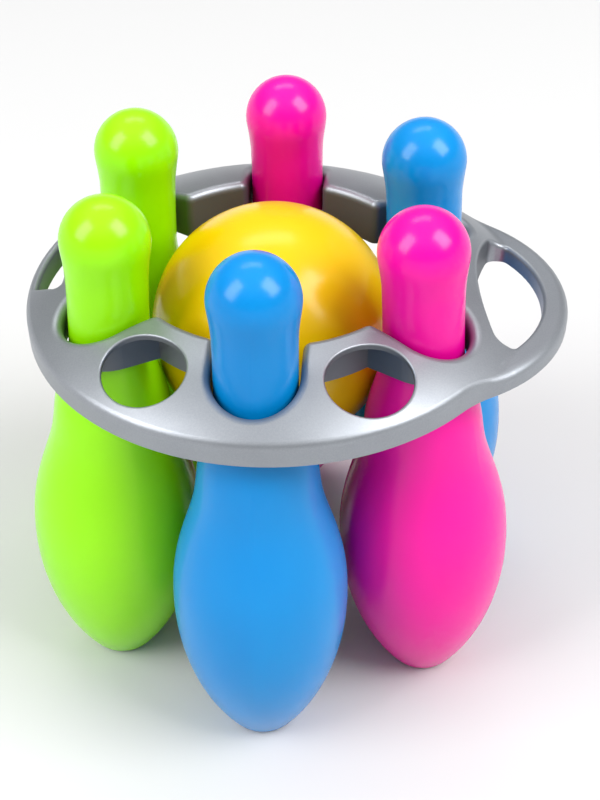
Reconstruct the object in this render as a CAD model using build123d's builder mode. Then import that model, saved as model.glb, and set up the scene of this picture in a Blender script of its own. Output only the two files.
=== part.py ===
"""A kids bowling set: six splayed pins and a ball in a ring shaped carrier. Sizes in millimetres."""

import os
from math import asin, cos, degrees, hypot, radians, sin, sqrt, tan

from build123d import *

# ball
ball_diameter = 114.0
ball_wall = 1.6
ball_rise = 0.5  # of the ball's centre over the pins' pivot level

# pins: outer shape
pin_height = 258.0
pin_body_radius = 40.2
pin_base_radius = 16.0
pin_base_rounding = 2.0
pin_neck_radius = 17.1
pin_head_radius = 19.4
pin_wall = 1.5
pin_splay = 3.4  # degrees that each pin leans in towards the ball at its head
belly_height_share = 0.31
pivot_height_share = 0.66  # where the pin's axis crosses the pin circle
upper_body_shares = [(0.395, 0.96), (0.461, 0.856), (0.547, 0.70)]  # height of the pin, radius of the body
neck_base_share = 0.748
neck_top_share = 0.853
neck_base_swell = 0.7
neck_top_swell = 0.6
head_tuck = 8.0  # degrees below the head's equator where the neck meets it
ball_contact_depth = 12.0  # the ball touches the shoulders this far below the pivot level

# fits
lift_clearance = 0.25  # between the ball and the heads as the ball is lifted out
ball_seat_gap = 0.4
slot_seat_gap = 0.35  # between a shoulder and the lower edge of its slot
slot_clearance = 1.4  # between a neck and the sides of its slot, which the head can't pass

# plugs of the blow holes
plug_flange_radius = 11.0
plug_stem_radius = 7.9
plug_flange_thickness = 1.3
plug_recess_clearance = 0.2
plug_stem_clearance = 0.1
plug_stem_wall = 1.3
plug_bead = 0.6
plug_bead_height = 1.0
plug_lead_in = 2.0
plug_sink = 0.1
ball_plug_flange_radius = 8.0
ball_plug_stem_radius = 5.4

# carrier: heights
carrier_lift = 12.0  # lower edge of the carrier above the pivot level
carrier_skirt_height = 9.6
carrier_crown_rise = 17.4
carrier_crown_bulge = 3.7  # of the crown's curve over the straight line from its rim to its top
carrier_plate = 2.4
carrier_wall = 2.2
carrier_skirt_wall = 2.4
wall_recess = 4.0  # of the inner walls and ribs over the lower edge of the skirt

# carrier: plan
opening_gap = 8.0  # between the ball and the central opening
slot_mouth_rounding = 4.0
rim_web = 13.2  # between a slot's closed end and the edge of the disc
rim_rounding = 4.5
slot_edge_rounding = 3.6
hole_edge_rounding = 1.0
edge_rounding = 2.0
hole_half_depth = 15.8  # of the oval holes, towards the ball
hole_half_width = 19.1
hole_ring_radius = 90.9

# carrier: grip on the right
grip_stand_out = 22.2  # of the grip over the disc
grip_radius = 75.0
grip_shift = 2.3  # of the grip's middle towards the back
grip_bar = 11.4
grip_opening_share = 0.535  # half length of the grip opening, over the radius of the grip
grip_opening_depth = 30.8
grip_opening_radius = 60.0  # of the side along the bar
grip_opening_bulge = 7.5
grip_corner_rounding = 5.0
grip_root_rounding = 55.0
crown_overlap = 1.0  # of the domed top over the edges of the disc and of the central opening
crown_run_out = 4.0  # length over which the crown's slope turns flat over the grip

# carrier: finger slot on the left
finger_slot_bar = 4.8
finger_slot_start = 93.8
finger_slot_near = 13.4
finger_slot_slant = 6.9
finger_slot_far = 34.0
finger_slot_rounding = 2.0
rib_thickness = 1.8

overrun = 5.0  # that cutters reach past what they cut
upright_limit = 0.001  # upward share of a wall's normal, below which the wall counts as upright

ball_radius = ball_diameter / 2
belly_height = pin_height * belly_height_share
pivot_height = pin_height * pivot_height_share
splay_sine = sin(radians(pin_splay))
splay_cosine = cos(radians(pin_splay))
head_centre_height = pin_height - pin_head_radius

# The pin circle is just wide enough for the ball to pass up between the six leaning heads.
pin_circle_radius = (
    ball_radius
    + lift_clearance
    + pin_head_radius
    + (head_centre_height - pivot_height) * splay_sine
)
# The shoulders are as thick as the ball's seat asks, and as the slots that stand on them ask.
ball_contact_offset = ball_contact_depth + ball_rise
shoulder_radius = (
    pin_circle_radius
    + ball_contact_depth * splay_sine
    - sqrt(ball_radius**2 - ball_contact_offset**2)
    - ball_seat_gap
)
shoulder_height = pivot_height - ball_contact_depth + shoulder_radius * splay_sine
slot_half_width = pin_neck_radius + slot_clearance
slot_seat_radius = slot_half_width - slot_seat_gap
slot_seat_height = pivot_height + carrier_lift + wall_recess

# Angles of the pins around the ball, seen from above, with the front pin at -90 degrees.
pin_angles = {
    "front": -90,
    "front_right": -30,
    "back_right": 30,
    "back": 90,
    "back_left": 150,
    "front_left": 210,
}
front_hole_angles = [-120.8, -59.2]
rib_angles = [0, 60, 120, 180]

# Heights in the standing set: each pin stands on the inner edge of its base.
lower_arc_radius = (belly_height**2 + (pin_body_radius - pin_base_radius) ** 2) / (
    2 * (pin_body_radius - pin_base_radius)
)
base_corner_angle = 90 + degrees(asin(belly_height / lower_arc_radius))
base_flat_radius = pin_base_radius - pin_base_rounding / tan(radians(base_corner_angle / 2))
pivot_z = (
    (pivot_height - pin_base_rounding) * splay_cosine
    + base_flat_radius * splay_sine
    + pin_base_rounding
)
ball_z = pivot_z + ball_rise
carrier_z = pivot_z + carrier_lift

# The origin lies on the floor under the middle of the set with its grip.
disc_radius = pin_circle_radius + slot_half_width + rim_web
belly_circle_radius = pin_circle_radius + (pivot_height - belly_height) * splay_sine
grip_reach = disc_radius + grip_stand_out
grip_centre = grip_reach - grip_radius
grip_opening_start = grip_reach - grip_bar - grip_opening_depth
opening_radius = ball_radius + opening_gap
left_reach = belly_circle_radius * cos(radians(pin_angles["back_right"])) + pin_body_radius
axis_x = (left_reach - grip_reach) / 2
carrier_base = Plane((axis_x, 0, carrier_z))
ball_foot = Plane((axis_x, 0, ball_z - ball_radius))
pin_recess_depth = plug_flange_thickness + plug_sink
ball_recess_radius = ball_plug_flange_radius + plug_recess_clearance
ball_rim_height = ball_radius - sqrt(ball_radius**2 - ball_recess_radius**2)
ball_seat = ball_rim_height + plug_sink + plug_flange_thickness


def pin_foot(angle):
    """The plane of a pin's base: its normal runs up the leaning pin, its x axis away from the ball."""
    away = Vector(cos(radians(angle)), sin(radians(angle)), 0)
    up = Vector(0, 0, 1) * splay_cosine - away * splay_sine
    out = away * splay_cosine + Vector(0, 0, 1) * splay_sine
    pivot = Vector(axis_x, 0, pivot_z) + away * pin_circle_radius
    return Plane(origin=pivot - up * pivot_height, x_dir=out, z_dir=up)


def side_of(foot):
    """The plane that a turned profile is drawn on: x away from the axis of foot, y up it."""
    return Plane(origin=foot.origin, x_dir=foot.x_dir, z_dir=-foot.y_dir)


def pin_profile(wall, floor):
    """Half of a pin's outline, drawn wall inside the outer surface and closed at the height floor."""
    head_radius = pin_head_radius - wall
    tuck = radians(head_tuck)
    base = (pin_base_radius - wall / 2, floor)
    belly = (pin_body_radius - wall, belly_height)
    tucked = (head_radius * cos(tuck), head_centre_height - head_radius * sin(tuck))
    upper_body = [
        (pin_body_radius * radius - wall, pin_height * height) for height, radius in upper_body_shares
    ]
    shoulders = [
        (shoulder_radius - wall, shoulder_height),
        (slot_seat_radius - wall, slot_seat_height),
        (pin_neck_radius + neck_base_swell - wall, pin_height * neck_base_share),
        (pin_neck_radius + neck_top_swell - wall, pin_height * neck_top_share),
    ]
    with BuildLine() as outline:
        Line((0, floor), base)
        TangentArc(belly, base, tangent=(0, -1))
        Spline(belly, *upper_body, *shoulders, tucked, tangents=[(0, 1), (sin(tuck), cos(tuck))])
        CenterArc((0, head_centre_height), head_radius, -head_tuck, 90 + head_tuck)
        Line((0, head_centre_height + head_radius), (0, floor))
    return outline.line


def make_pin(name, foot):
    """A hollow pin that stands on foot, with a recessed blow hole in its base."""
    with BuildPart() as pin:
        with BuildSketch(side_of(foot)) as outer:
            add(pin_profile(0, 0))
            make_face()
            base_corner = outer.vertices().sort_by(Axis.Y)[:2].sort_by(Axis.X)[-1]
            fillet(base_corner, radius=pin_base_rounding)
        revolve(axis=Axis(foot.origin, foot.z_dir))
        with BuildSketch(side_of(foot)):
            add(pin_profile(pin_wall, pin_recess_depth + pin_wall))
            make_face()
        revolve(axis=Axis(foot.origin, foot.z_dir), mode=Mode.SUBTRACT)
        with BuildSketch(foot):
            Circle(plug_flange_radius + plug_recess_clearance)
        extrude(amount=pin_recess_depth, mode=Mode.SUBTRACT)
        with BuildSketch(foot):
            Circle(plug_stem_radius + plug_stem_clearance)
        extrude(amount=pin_recess_depth + pin_wall + overrun, mode=Mode.SUBTRACT)
    pin.part.label = "pin_" + name
    export_step(pin.part, f"parts/pin_{name}.step")


def make_plug(name, foot, flange_radius, stem_radius, seat, wall):
    """A press-in plug for a blow hole: its flange fills a recess up to the height seat, under the wall."""
    face = seat - plug_flange_thickness
    bead_start = seat + wall + plug_sink
    bead_top = bead_start + plug_bead_height
    stem_top = bead_top + plug_lead_in
    bore_radius = stem_radius - plug_stem_wall
    with BuildPart() as plug:
        with BuildSketch(side_of(foot)):
            with BuildLine():
                Polyline(
                    (0, face),
                    (flange_radius, face),
                    (flange_radius, seat),
                    (stem_radius, seat),
                    (stem_radius, bead_start),
                    (stem_radius + plug_bead, bead_start),
                    (stem_radius + plug_bead, bead_top),
                    (bore_radius + plug_bead, stem_top),
                    (bore_radius, stem_top),
                    (bore_radius, seat),
                    (0, seat),
                    close=True,
                )
            make_face()
        revolve(axis=Axis(foot.origin, foot.z_dir))
    plug.part.label = name
    export_step(plug.part, f"parts/{name}.step")


def make_ball():
    """A hollow ball whose blow hole is on its underside, with a thicker floor around it."""
    with BuildPart() as hollow:
        with Locations(ball_foot.offset(ball_radius)):
            Sphere(ball_radius - ball_wall)
        with BuildSketch(ball_foot):
            Circle(ball_recess_radius + ball_wall)
        extrude(amount=ball_seat + ball_wall, mode=Mode.SUBTRACT)
    with BuildPart() as ball:
        with Locations(ball_foot.offset(ball_radius)):
            Sphere(ball_radius)
        add(hollow.part, mode=Mode.SUBTRACT)
        with BuildSketch(ball_foot):
            Circle(ball_recess_radius)
        extrude(amount=ball_seat, mode=Mode.SUBTRACT)
        with BuildSketch(ball_foot):
            Circle(ball_plug_stem_radius + plug_stem_clearance)
        extrude(amount=ball_seat + ball_wall + overrun, mode=Mode.SUBTRACT)
    ball.part.label = "ball"
    export_step(ball.part, "parts/ball.step")


def draw_slots(grow, mode=Mode.ADD):
    """The central opening and the six slots that run out of it, wider by grow on every side."""
    width = 2 * (slot_half_width + grow)
    Circle(opening_radius + grow, mode=mode)
    with PolarLocations(pin_circle_radius, len(pin_angles), start_angle=pin_angles["front"]):
        Circle(slot_half_width + grow, mode=mode)
        Rectangle(pin_circle_radius, width, align=(Align.MAX, Align.CENTER), mode=mode)


def draw_grip_opening(grow, mode=Mode.ADD):
    """The opening inside the grip: a long bulge towards the ball, and an outer side along the bar."""
    half = grip_radius * grip_opening_share + grow
    near = grip_shift - half
    far = grip_shift + half
    inner_x = grip_opening_start + grip_opening_bulge - grow
    outer_x = grip_reach - grip_bar + grow
    outer_radius = grip_opening_radius + grow
    corner_x = outer_x - outer_radius + sqrt(outer_radius**2 - half**2)
    with BuildLine() as outline:
        ThreePointArc((inner_x, far), (grip_opening_start - grow, grip_shift), (inner_x, near))
        Line((inner_x, near), (corner_x, near))
        ThreePointArc((corner_x, near), (outer_x, grip_shift), (corner_x, far))
        Line((corner_x, far), (inner_x, far))
    make_face(outline.edges(), mode=mode)


def draw_finger_slot(grow, outer_radius, mode=Mode.ADD):
    """The slot on the left: straight towards the ball, round along the rim, slanted at its near end."""
    near = -finger_slot_near - grow
    far = finger_slot_far + grow
    inner_x = -finger_slot_start + grow
    middle = (near + far) / 2
    with BuildLine() as outline:
        Polyline(
            (-sqrt(outer_radius**2 - near**2), near),
            (inner_x, near - finger_slot_slant),
            (inner_x, far),
            (-sqrt(outer_radius**2 - far**2), far),
        )
        ThreePointArc(
            (-sqrt(outer_radius**2 - far**2), far),
            (-sqrt(outer_radius**2 - middle**2), middle),
            (-sqrt(outer_radius**2 - near**2), near),
        )
    make_face(outline.edges(), mode=mode)


def draw_crown(drop):
    """Half section under the domed top, lowered by drop, with its slope turned flat over the grip."""
    rim = carrier_skirt_height - drop
    top = rim + carrier_crown_rise
    middle = ((opening_radius + disc_radius) / 2, (rim + top) / 2 + carrier_crown_bulge)
    side = grip_reach - axis_x + overrun
    with BuildLine() as outline:
        dome_end = (disc_radius + crown_overlap, rim)
        dome = ThreePointArc((opening_radius - crown_overlap, top), middle, dome_end)
        slope = dome % 1
        flat_top = rim + crown_run_out * slope.Y / (1 + slope.X)
        flat_start = (disc_radius + crown_overlap + crown_run_out, flat_top)
        TangentArc(dome @ 1, flat_start, tangent=slope)
        Polyline(
            flat_start,
            (side, flat_top),
            (side, -overrun),
            (0, -overrun),
            (0, top),
            dome @ 0,
        )
    make_face(outline.edges())


def top_edges(faces):
    """The upper edges of the carrier's upright walls."""
    walls = faces.filter_by(lambda face: abs(face.normal_at().Z) < upright_limit)
    middle = carrier_z + carrier_skirt_height / 2
    return walls.edges().filter_by(lambda edge: edge.bounding_box().min.Z > middle)


def draw_inside():
    """Everything within the skirt but the walled grip opening and finger slot."""
    Circle(disc_radius - carrier_skirt_wall)
    with Locations((grip_centre, grip_shift)):
        Circle(grip_radius - carrier_skirt_wall)
    draw_grip_opening(carrier_wall, mode=Mode.SUBTRACT)
    draw_finger_slot(carrier_wall, disc_radius, mode=Mode.SUBTRACT)


def make_pocket():
    """The space under the crown, between the skirt, the walls of the openings and the ribs."""
    with BuildPart() as pocket:
        with BuildSketch(carrier_base):
            draw_inside()
            draw_slots(carrier_wall, mode=Mode.SUBTRACT)
            for angle in rib_angles:
                with PolarLocations(disc_radius / 2, 1, start_angle=angle):
                    Rectangle(disc_radius, rib_thickness, mode=Mode.SUBTRACT)
        extrude(amount=carrier_skirt_height + carrier_crown_rise)
        with BuildSketch(carrier_base):
            draw_inside()
        extrude(amount=wall_recess)
        with BuildSketch(side_of(carrier_base)):
            draw_crown(carrier_plate)
        revolve(axis=Axis(carrier_base.origin, carrier_base.z_dir), mode=Mode.INTERSECT)
    return pocket.part


def make_carrier():
    """The ring that stands on the shoulders of the pins, moulded in one piece and open underneath.

    The oval holes have no walls of their own, so the walls of the slots show through them.
    """
    height = carrier_skirt_height + carrier_crown_rise
    with BuildPart() as carrier:
        with BuildSketch(carrier_base) as plan:
            Circle(disc_radius)
            with Locations((grip_centre, grip_shift)):
                Circle(grip_radius)
            roots = plan.vertices().filter_by(lambda corner: abs(corner.Y) > grip_bar)
            fillet(roots, radius=grip_root_rounding)
        extrude(amount=height)
        with BuildSketch(side_of(carrier_base)):
            draw_crown(0)
        revolve(axis=Axis(carrier_base.origin, carrier_base.z_dir), mode=Mode.INTERSECT)
        fillet(top_edges(carrier.faces()), radius=rim_rounding)

        with BuildSketch(carrier_base) as slots:
            draw_slots(0)
            mouths = slots.vertices().group_by(lambda corner: round(hypot(corner.X, corner.Y)))[0]
            fillet(mouths, radius=slot_mouth_rounding)
        extrude(amount=height, mode=Mode.SUBTRACT)
        fillet(top_edges(carrier.faces(Select.LAST)), radius=slot_edge_rounding)

        with BuildSketch(carrier_base):
            for angle in front_hole_angles:
                with PolarLocations(hole_ring_radius, 1, start_angle=angle):
                    Ellipse(hole_half_depth, hole_half_width)
        extrude(amount=height, mode=Mode.SUBTRACT)
        fillet(top_edges(carrier.faces(Select.LAST)), radius=hole_edge_rounding)

        with BuildSketch(carrier_base) as grip:
            draw_grip_opening(0)
            fillet(grip.vertices(), radius=grip_corner_rounding)
        extrude(amount=height, mode=Mode.SUBTRACT)
        fillet(top_edges(carrier.faces(Select.LAST)), radius=edge_rounding)

        with BuildSketch(carrier_base) as finger:
            draw_finger_slot(0, disc_radius - finger_slot_bar)
            fillet(finger.vertices(), radius=finger_slot_rounding)
        extrude(amount=height, mode=Mode.SUBTRACT)
        fillet(top_edges(carrier.faces(Select.LAST)), radius=edge_rounding)

        add(make_pocket(), mode=Mode.SUBTRACT)
    carrier.part.label = "carrier"
    export_step(carrier.part, "parts/carrier.step")


os.makedirs("parts", exist_ok=True)
for name, angle in pin_angles.items():
    foot = pin_foot(angle)
    make_pin(name, foot)
    make_plug("plug_" + name, foot, plug_flange_radius, plug_stem_radius, pin_recess_depth, pin_wall)
make_ball()
make_plug("ball_plug", ball_foot, ball_plug_flange_radius, ball_plug_stem_radius, ball_seat, ball_wall)
make_carrier()
print("pin circle radius", round(pin_circle_radius, 2), "shoulder radius", round(shoulder_radius, 2))
print("axis x", round(axis_x, 3), "pivot z", round(pivot_z, 3), "ball z", round(ball_z, 3))
print("carrier z", round(carrier_z, 3), "disc radius", round(disc_radius, 3))
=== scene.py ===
import math

import bmesh
import bpy
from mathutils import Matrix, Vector

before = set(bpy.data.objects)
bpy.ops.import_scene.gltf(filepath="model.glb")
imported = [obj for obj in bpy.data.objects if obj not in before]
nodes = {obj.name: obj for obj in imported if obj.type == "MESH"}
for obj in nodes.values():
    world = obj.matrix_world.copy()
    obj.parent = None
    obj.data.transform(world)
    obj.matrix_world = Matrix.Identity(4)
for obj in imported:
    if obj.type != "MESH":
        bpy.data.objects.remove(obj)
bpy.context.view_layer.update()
mm = 0.001
mixSockets = {"first": 6, "second": 7, "result": 2}  # the colour sockets of a Mix node, by number
print("frame loaded,", len(nodes), "nodes")


def toLinear(hexColour):
    # sRGB hex to the linear values that the shader works in
    channels = [int(hexColour[i:i + 2], 16) / 255 for i in (1, 3, 5)]
    linear = [c / 12.92 if c <= 0.04045 else ((c + 0.055) / 1.055) ** 2.4 for c in channels]
    return (*linear, 1.0)


def addNode(tree, kind, settings=None, links=None):
    # one node with its settings, and links into its inputs
    node = tree.nodes.new(kind)
    for name, value in (settings or {}).items():
        if isinstance(name, int) or name in node.inputs:
            node.inputs[name].default_value = value
        else:
            setattr(node, name, value)
    for name, source in (links or {}).items():
        tree.links.new(source, node.inputs[name])
    return node


def newMaterial(name):
    material = bpy.data.materials.new(name)
    material.use_nodes = True
    material.node_tree.nodes.clear()
    return material, material.node_tree


# sizes of patterns are in mm
blownPlastic = {
    "surface": {
        "IOR": 1.42,
        "Specular IOR Level": 0.4,
        "Subsurface Weight": 0.06,
        "Subsurface Scale": 3.0 * mm,
    },
    "wave": 38.0,  # slow change of wall thickness along the parison
    "waveStretch": (1, 1, 0.35),
    "waveNoise": {"Detail": 2, "Roughness": 0.5},
    "thinRange": {"From Min": 0.3, "From Max": 0.7, "To Min": 0, "To Max": 1},
    "scuff": 7.0,  # faint dull patches from handling
    "scuffNoise": {"Detail": 4, "Roughness": 0.65},
    "roughnessRange": {"From Min": 0.45, "From Max": 0.75, "To Min": 0.21, "To Max": 0.26},
    "peel": 2.4,  # orange peel left by the mould's sandblasted wall
    "peelNoise": {"Detail": 1, "Roughness": 0.4},
    "peelBump": {"Strength": 0.25, "Distance": 0.004 * mm},
}


def makeBlownPlastic(name, colour, thinColour):
    # low-density polyethylene, extrusion blow moulded: semi-gloss, waxy, a little paler where the wall is thin
    values = blownPlastic
    material, tree = newMaterial(name)
    place = addNode(tree, "ShaderNodeTexCoord").outputs["Object"]
    stretch = addNode(tree, "ShaderNodeMapping", {"Scale": values["waveStretch"]}, {"Vector": place})
    wave = addNode(
        tree, "ShaderNodeTexNoise",
        {"Scale": 1 / (values["wave"] * mm), **values["waveNoise"]},
        {"Vector": stretch.outputs["Vector"]},
    )
    thin = addNode(tree, "ShaderNodeMapRange", values["thinRange"], {"Value": wave.outputs["Fac"]})
    tint = addNode(
        tree, "ShaderNodeMix",
        {
            "data_type": "RGBA",
            mixSockets["first"]: toLinear(colour),
            mixSockets["second"]: toLinear(thinColour),
        },
        {0: thin.outputs["Result"]},
    )
    scuff = addNode(
        tree, "ShaderNodeTexNoise",
        {"Scale": 1 / (values["scuff"] * mm), **values["scuffNoise"]},
        {"Vector": place},
    )
    roughness = addNode(
        tree, "ShaderNodeMapRange", values["roughnessRange"], {"Value": scuff.outputs["Fac"]},
    )
    peel = addNode(
        tree, "ShaderNodeTexNoise",
        {"Scale": 1 / (values["peel"] * mm), **values["peelNoise"]},
        {"Vector": place},
    )
    bump = addNode(tree, "ShaderNodeBump", values["peelBump"], {"Height": peel.outputs["Fac"]})
    shader = addNode(
        tree, "ShaderNodeBsdfPrincipled", values["surface"],
        {
            "Base Color": tint.outputs[mixSockets["result"]],
            "Roughness": roughness.outputs["Result"],
            "Normal": bump.outputs["Normal"],
        },
    )
    addNode(tree, "ShaderNodeOutputMaterial", None, {"Surface": shader.outputs["BSDF"]})
    return material


pearlPlastic = {
    "surface": {"IOR": 1.49, "Metallic": 0.7},
    "colour": "#8F9399",
    "flakeColour": "#989CA2",
    "flow": 26.0,  # flow marks of the pigment
    "flowNoise": {"Detail": 3, "Roughness": 0.55, "Distortion": 0.8},
    "flowShare": 0.6,
    "flake": 0.7,  # the real pearl flakes are 0.05, drawn coarse so that they show
    "flakeNoise": {"Detail": 2, "Roughness": 0.6},
    "pigmentRange": {"From Min": 0.55, "From Max": 1.05, "To Min": 0, "To Max": 1},
    "grain": 0.9,  # fine spark-eroded texture
    "grainNoise": {"Detail": 1, "Roughness": 0.5},
    "grainBump": {"Strength": 1.0, "Distance": 0.004 * mm},
    "roughnessRange": {"To Min": 0.4, "To Max": 0.55},  # from the top to the inner walls
    # painted shade: the darker colour of the carrier's inner walls and underside
    "paintedShadeColour": "#686C72",
    "discMiddle": (-0.0099, 0, 0),  # m
    "insideRange": {"From Min": 0.107, "From Max": 0.109, "To Min": 1, "To Max": 0},  # m, up to the outer skirt
    "wallRange": {"From Min": 0.25, "From Max": 0.75, "To Min": 1, "To Max": 0},  # by how far a face looks up
}


def addPaintedShadeAndDullShare(tree, place):
    # 1 on the walls of the slots and holes and on the underside, 0 on the top and on the outer skirt; this
    # share paints shade into those recesses and makes them duller
    values = pearlPlastic
    fromMiddle = addNode(
        tree, "ShaderNodeVectorMath", {"operation": "SUBTRACT", 1: values["discMiddle"]}, {0: place},
    )
    level = addNode(
        tree, "ShaderNodeVectorMath", {"operation": "MULTIPLY", 1: (1, 1, 0)},
        {0: fromMiddle.outputs["Vector"]},
    )
    radius = addNode(tree, "ShaderNodeVectorMath", {"operation": "LENGTH"}, {0: level.outputs["Vector"]})
    inside = addNode(tree, "ShaderNodeMapRange", values["insideRange"], {"Value": radius.outputs["Value"]})
    facing = addNode(tree, "ShaderNodeTexCoord").outputs["Normal"]
    upward = addNode(tree, "ShaderNodeSeparateXYZ", None, {"Vector": facing})
    wall = addNode(tree, "ShaderNodeMapRange", values["wallRange"], {"Value": upward.outputs["Z"]})
    both = addNode(
        tree, "ShaderNodeMath", {"operation": "MULTIPLY"},
        {0: inside.outputs["Result"], 1: wall.outputs["Result"]},
    )
    return both.outputs["Value"]


def makePearlPlastic(name):
    # polypropylene with silver pearl pigment, injection moulded: satin and slightly metallic, with soft flow
    # marks; its inner walls and underside are duller, as from an unpolished mould, and darker by painted shade
    values = pearlPlastic
    material, tree = newMaterial(name)
    place = addNode(tree, "ShaderNodeTexCoord").outputs["Object"]
    flow = addNode(
        tree, "ShaderNodeTexNoise",
        {"Scale": 1 / (values["flow"] * mm), **values["flowNoise"]},
        {"Vector": place},
    )
    flake = addNode(
        tree, "ShaderNodeTexNoise",
        {"Scale": 1 / (values["flake"] * mm), **values["flakeNoise"]},
        {"Vector": place},
    )
    pigment = addNode(
        tree, "ShaderNodeMath", {"operation": "MULTIPLY_ADD", 1: values["flowShare"]},
        {0: flow.outputs["Fac"], 2: flake.outputs["Fac"]},
    )
    shade = addNode(tree, "ShaderNodeMapRange", values["pigmentRange"], {"Value": pigment.outputs["Value"]})
    outer = addNode(
        tree, "ShaderNodeMix",
        {
            "data_type": "RGBA",
            mixSockets["first"]: toLinear(values["colour"]),
            mixSockets["second"]: toLinear(values["flakeColour"]),
        },
        {0: shade.outputs["Result"]},
    )
    shadeAndDullShare = addPaintedShadeAndDullShare(tree, place)
    # painted shade: the inner walls and underside are mixed towards a darker colour
    tint = addNode(
        tree, "ShaderNodeMix",
        {"data_type": "RGBA", mixSockets["second"]: toLinear(values["paintedShadeColour"])},
        {0: shadeAndDullShare, mixSockets["first"]: outer.outputs[mixSockets["result"]]},
    )
    roughness = addNode(tree, "ShaderNodeMapRange", values["roughnessRange"], {"Value": shadeAndDullShare})
    grain = addNode(
        tree, "ShaderNodeTexNoise",
        {"Scale": 1 / (values["grain"] * mm), **values["grainNoise"]},
        {"Vector": place},
    )
    bump = addNode(tree, "ShaderNodeBump", values["grainBump"], {"Height": grain.outputs["Fac"]})
    shader = addNode(
        tree, "ShaderNodeBsdfPrincipled", values["surface"],
        {
            "Base Color": tint.outputs[mixSockets["result"]],
            "Roughness": roughness.outputs["Result"],
            "Normal": bump.outputs["Normal"],
        },
    )
    addNode(tree, "ShaderNodeOutputMaterial", None, {"Surface": shader.outputs["BSDF"]})
    return material


blueBlown = makeBlownPlastic("blownPolyethyleneBlue", "#0080C8", "#0087CE")
magentaBlown = makeBlownPlastic("blownPolyethyleneMagenta", "#EC0094", "#F0069B")
greenBlown = makeBlownPlastic("blownPolyethyleneGreen", "#90E200", "#97EA04")
yellowBlown = makeBlownPlastic("blownPolyethyleneYellow", "#DEB200", "#E4BA06")
silverPearl = makePearlPlastic("mouldedPolypropylenePearlSilver")
print("materials made")

pinColours = {
    "front": blueBlown,
    "front_right": magentaBlown,
    "back_right": blueBlown,
    "back": magentaBlown,
    "back_left": greenBlown,
    "front_left": greenBlown,
}


def dress(node, material):
    if not nodes[node].material_slots:
        nodes[node].data.materials.append(material)
    for slot in nodes[node].material_slots:
        slot.material = material


for spot, material in pinColours.items():
    dress("pin_" + spot, material)
    dress("plug_" + spot, material)
dress("ball", yellowBlown)
dress("ball_plug", yellowBlown)
dress("carrier", silverPearl)
print("pins, ball and carrier dressed")

studio = {
    "floorColour": "#CCCCCC",
    "floorRoughness": 0.9,
    "floorSize": 1.8,
    # sine of the height of a direction, and the sky's brightness there: pale at the horizon, where it
    # meets the floor, darker above it, so that the gloss shows the softboxes, and pale overhead
    "sky": [(0.04, 1.0), (0.22, 0.3), (0.45, 0.3), (0.97, 1.0)],
    "newStop": 0.5,
    "target": (0, 0, 0.15),
    "boxes": [
        # direction towards the light, distance, width, height, watts
        ((-0.66, -0.38, 0.64), 3.0, 1.4, 2.2, 68),
        ((0.63, -0.21, 0.74), 3.0, 1.5, 1.9, 80),
        ((-0.1, 0.5, 0.86), 3.0, 1.8, 0.7, 14),
    ],
}


def makeFloor():
    # matte pale paper; the floor is small, so that the pale horizon shows behind it
    mesh = bpy.data.meshes.new("floor")
    sheet = bmesh.new()
    bmesh.ops.create_grid(sheet, x_segments=1, y_segments=1, size=studio["floorSize"] / 2)
    sheet.to_mesh(mesh)
    sheet.free()
    floor = bpy.data.objects.new("floor", mesh)
    bpy.context.scene.collection.objects.link(floor)
    material, tree = newMaterial("whitePaperSweep")
    shader = addNode(
        tree, "ShaderNodeBsdfPrincipled",
        {"Base Color": toLinear(studio["floorColour"]), "Roughness": studio["floorRoughness"]},
    )
    addNode(tree, "ShaderNodeOutputMaterial", None, {"Surface": shader.outputs["BSDF"]})
    mesh.materials.append(material)


def makeSky():
    world = bpy.data.worlds.new("softWhite")
    world.use_nodes = True
    tree = world.node_tree
    tree.nodes.clear()
    direction = addNode(tree, "ShaderNodeTexCoord").outputs["Generated"]
    split = addNode(tree, "ShaderNodeSeparateXYZ", None, {"Vector": direction})
    ramp = addNode(tree, "ShaderNodeValToRGB", None, {"Fac": split.outputs["Z"]})
    ramp.color_ramp.interpolation = "EASE"
    stops = ramp.color_ramp.elements
    while len(stops) < len(studio["sky"]):
        stops.new(studio["newStop"])
    for stop, (height, brightness) in zip(stops, studio["sky"]):
        stop.position = height
        stop.color = (brightness, brightness, brightness, 1)
    sky = addNode(tree, "ShaderNodeBackground", None, {"Color": ramp.outputs["Color"]})
    addNode(tree, "ShaderNodeOutputWorld", None, {"Surface": sky.outputs["Background"]})
    bpy.context.scene.world = world


def makeSoftboxes():
    target = Vector(studio["target"])
    for number, (direction, distance, width, height, watts) in enumerate(studio["boxes"]):
        light = bpy.data.lights.new(f"softbox{number}", "AREA")
        light.shape = "RECTANGLE"
        light.size = width
        light.size_y = height
        light.energy = watts
        box = bpy.data.objects.new(f"softbox{number}", light)
        away = Vector(direction).normalized()
        box.location = target + away * distance
        box.rotation_euler = away.to_track_quat("Z", "Y").to_euler()
        bpy.context.scene.collection.objects.link(box)


makeFloor()
makeSky()
makeSoftboxes()

# the camera stands where the photograph's perspective puts it
viewpoint = {
    "place": (0.04079, -0.49389, 0.53519),  # m
    "turn": (50.4066, 0.2389, 4.2964),  # degrees
    "lens": 58.84,
    "sensor": 36,
    "nearest": 0.01,  # m
}


def makeCamera():
    data = bpy.data.cameras.new("camera")
    data.lens = viewpoint["lens"]
    data.sensor_width = viewpoint["sensor"]
    data.clip_start = viewpoint["nearest"]
    camera = bpy.data.objects.new("camera", data)
    camera.location = viewpoint["place"]
    camera.rotation_euler = [math.radians(angle) for angle in viewpoint["turn"]]
    bpy.context.scene.collection.objects.link(camera)
    bpy.context.scene.camera = camera


makeCamera()
bpy.context.scene.view_settings.view_transform = "Standard"  # keeps the strong colours of the plastics
print("studio and camera set")
